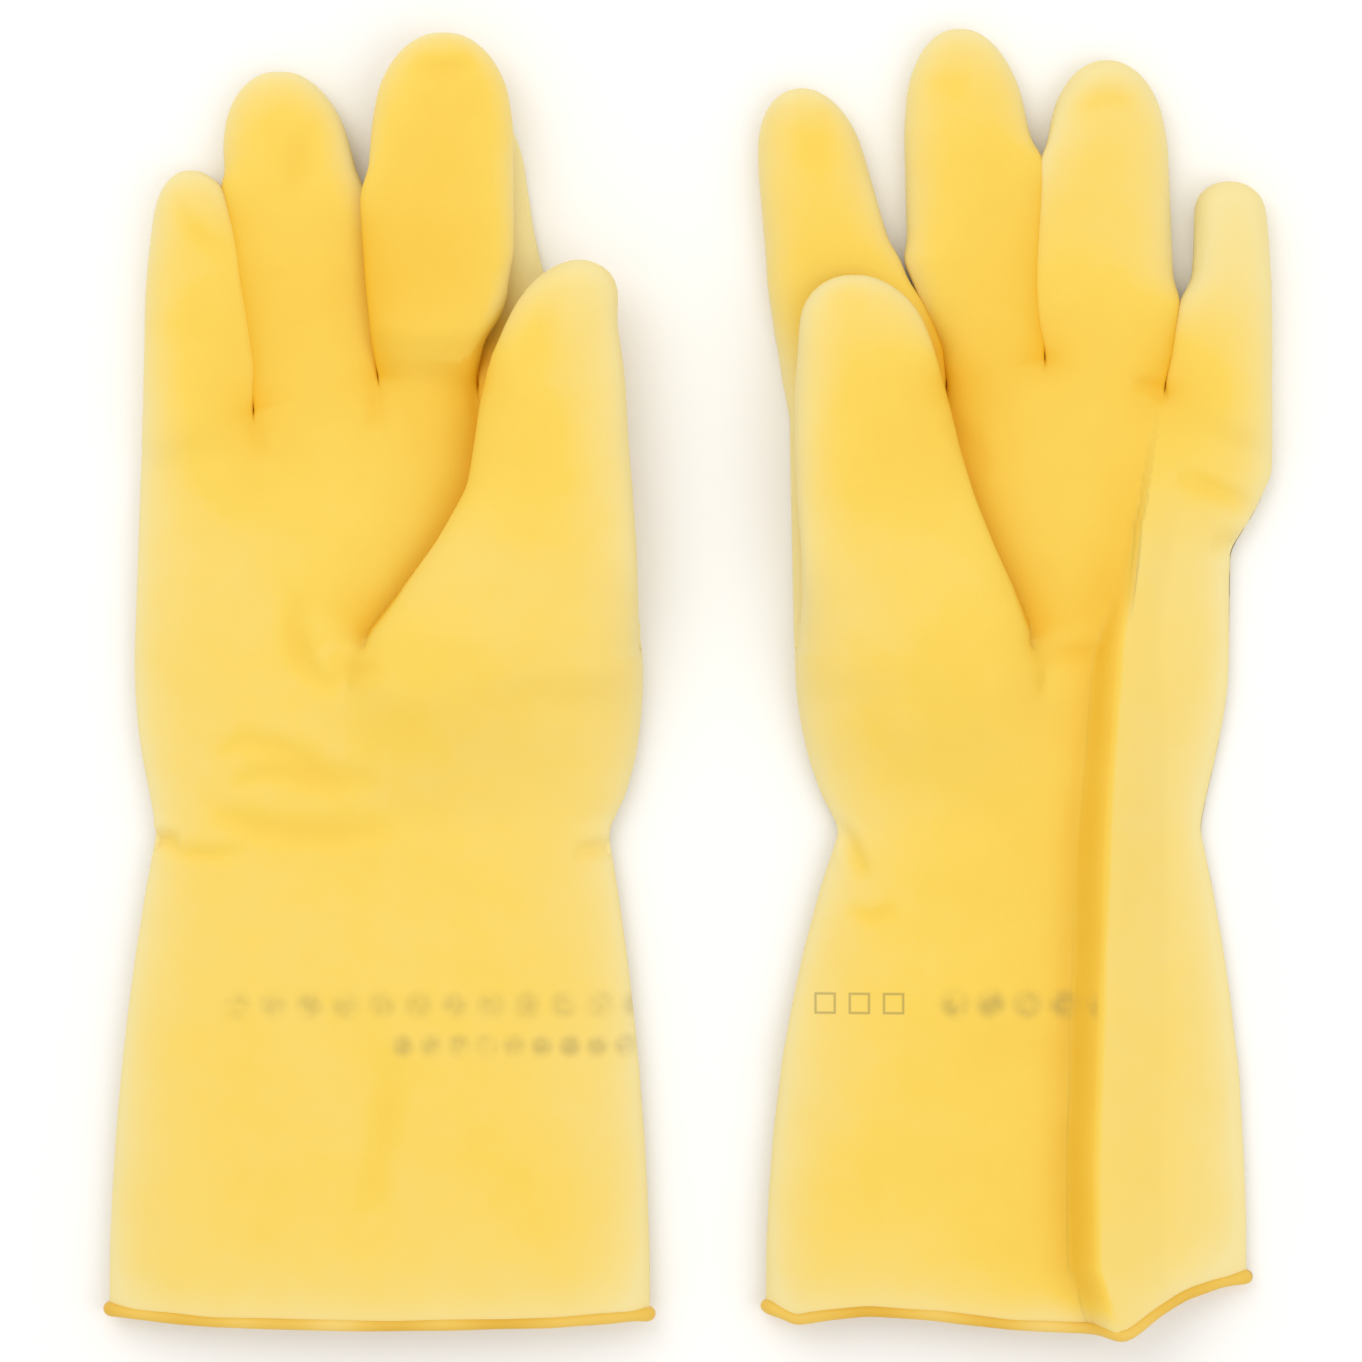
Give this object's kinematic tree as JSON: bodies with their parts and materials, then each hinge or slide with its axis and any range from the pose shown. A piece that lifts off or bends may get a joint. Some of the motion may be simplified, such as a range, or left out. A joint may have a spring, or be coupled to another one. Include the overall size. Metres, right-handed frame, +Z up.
{
  "type": "rubber gloves",
  "caption": "Pair of long-cuffed rubber household gloves lying flat, palm side up, with a rolled bead at each cuff and stalls that bend.",
  "frame": {"origin": "on the table, under the middle of the pair's bounding box", "axes": "+Z up, +Y from the cuffs to the fingertips, +X from the right-hand glove to the left-hand glove, which lie palm side up"},
  "size_m": [0.274, 0.3058, 0.0218],
  "materials": {
    "film": "satin, slightly translucent dipped natural-rubber latex",
    "bead": "satin, denser rolled edge of the same latex"
  },
  "bodies": {
    "right_hand": {"right_heel": "film", "right_palm": "film"},
    "right_cuff": {"right_cuff": "film", "right_cuff_bead": "bead"},
    "right_thumb": {"right_thumb": "film"},
    "right_index": {"right_index": "film"},
    "right_middle": {"right_middle": "film"},
    "right_ring": {"right_ring": "film"},
    "right_little": {"right_little": "film"},
    "left_hand": {"left_heel": "film", "left_palm": "film"},
    "left_cuff": {"left_cuff": "film", "left_cuff_bead": "bead"},
    "left_thumb": {"left_thumb": "film"},
    "left_index": {"left_index": "film"},
    "left_middle": {"left_middle": "film"},
    "left_ring": {"left_ring": "film"},
    "left_little": {"left_little": "film"}
  },
  "joints": [
    {"name": "left_glove_lift", "type": "slide", "parent": "right_hand", "child": "left_hand", "axis": [0, 0, 1], "range_m": [0, 0.15]},
    {"name": "right_wrist_fold", "type": "hinge", "parent": "right_hand", "child": "right_cuff", "pos_m": [-0.07265, -0.03615, 0.01], "axis": [-1, 0, 0], "range_deg": [0, 75]},
    {"name": "right_thumb_bend", "type": "hinge", "parent": "right_hand", "child": "right_thumb", "pos_m": [-0.04605, 0.00555, 0.0218], "axis": [1, 0, 0], "range_deg": [0, 70]},
    {"name": "right_index_bend", "type": "hinge", "parent": "right_hand", "child": "right_index", "pos_m": [-0.03615, 0.05985, 0], "axis": [1, 0, 0], "range_deg": [-60, 0]},
    {"name": "right_middle_bend", "type": "hinge", "parent": "right_hand", "child": "right_middle", "pos_m": [-0.0619, 0.06885, 0.011], "axis": [1, 0, 0], "range_deg": [0, 75]},
    {"name": "right_ring_bend", "type": "hinge", "parent": "right_hand", "child": "right_ring", "pos_m": [-0.088, 0.06225, 0.011], "axis": [1, 0, 0], "range_deg": [0, 80]},
    {"name": "right_little_bend", "type": "hinge", "parent": "right_hand", "child": "right_little", "pos_m": [-0.1159, 0.05635, 0.011], "axis": [1, 0, 0], "range_deg": [0, 80]},
    {"name": "left_wrist_fold", "type": "hinge", "parent": "left_hand", "child": "left_cuff", "pos_m": [0.07755, -0.03565, 0.01763], "axis": [-1, 0, 0], "range_deg": [0, 75]},
    {"name": "left_thumb_bend", "type": "hinge", "parent": "left_hand", "child": "left_thumb", "pos_m": [0.05345, 0.00605, 0.0218], "axis": [1, 0, 0], "range_deg": [0, 70]},
    {"name": "left_index_bend", "type": "hinge", "parent": "left_hand", "child": "left_index", "pos_m": [0.04165, 0.06115, 0], "axis": [1, 0, 0], "range_deg": [-60, 0]},
    {"name": "left_middle_bend", "type": "hinge", "parent": "left_hand", "child": "left_middle", "pos_m": [0.07165, 0.06775, 0.011], "axis": [1, 0, 0], "range_deg": [0, 75]},
    {"name": "left_ring_bend", "type": "hinge", "parent": "left_hand", "child": "left_ring", "pos_m": [0.0971, 0.06775, 0.011], "axis": [1, 0, 0], "range_deg": [0, 80]},
    {"name": "left_little_bend", "type": "hinge", "parent": "left_hand", "child": "left_little", "pos_m": [0.12395, 0.05875, 0.011], "axis": [1, 0, 0], "range_deg": [0, 80]}
  ]
}
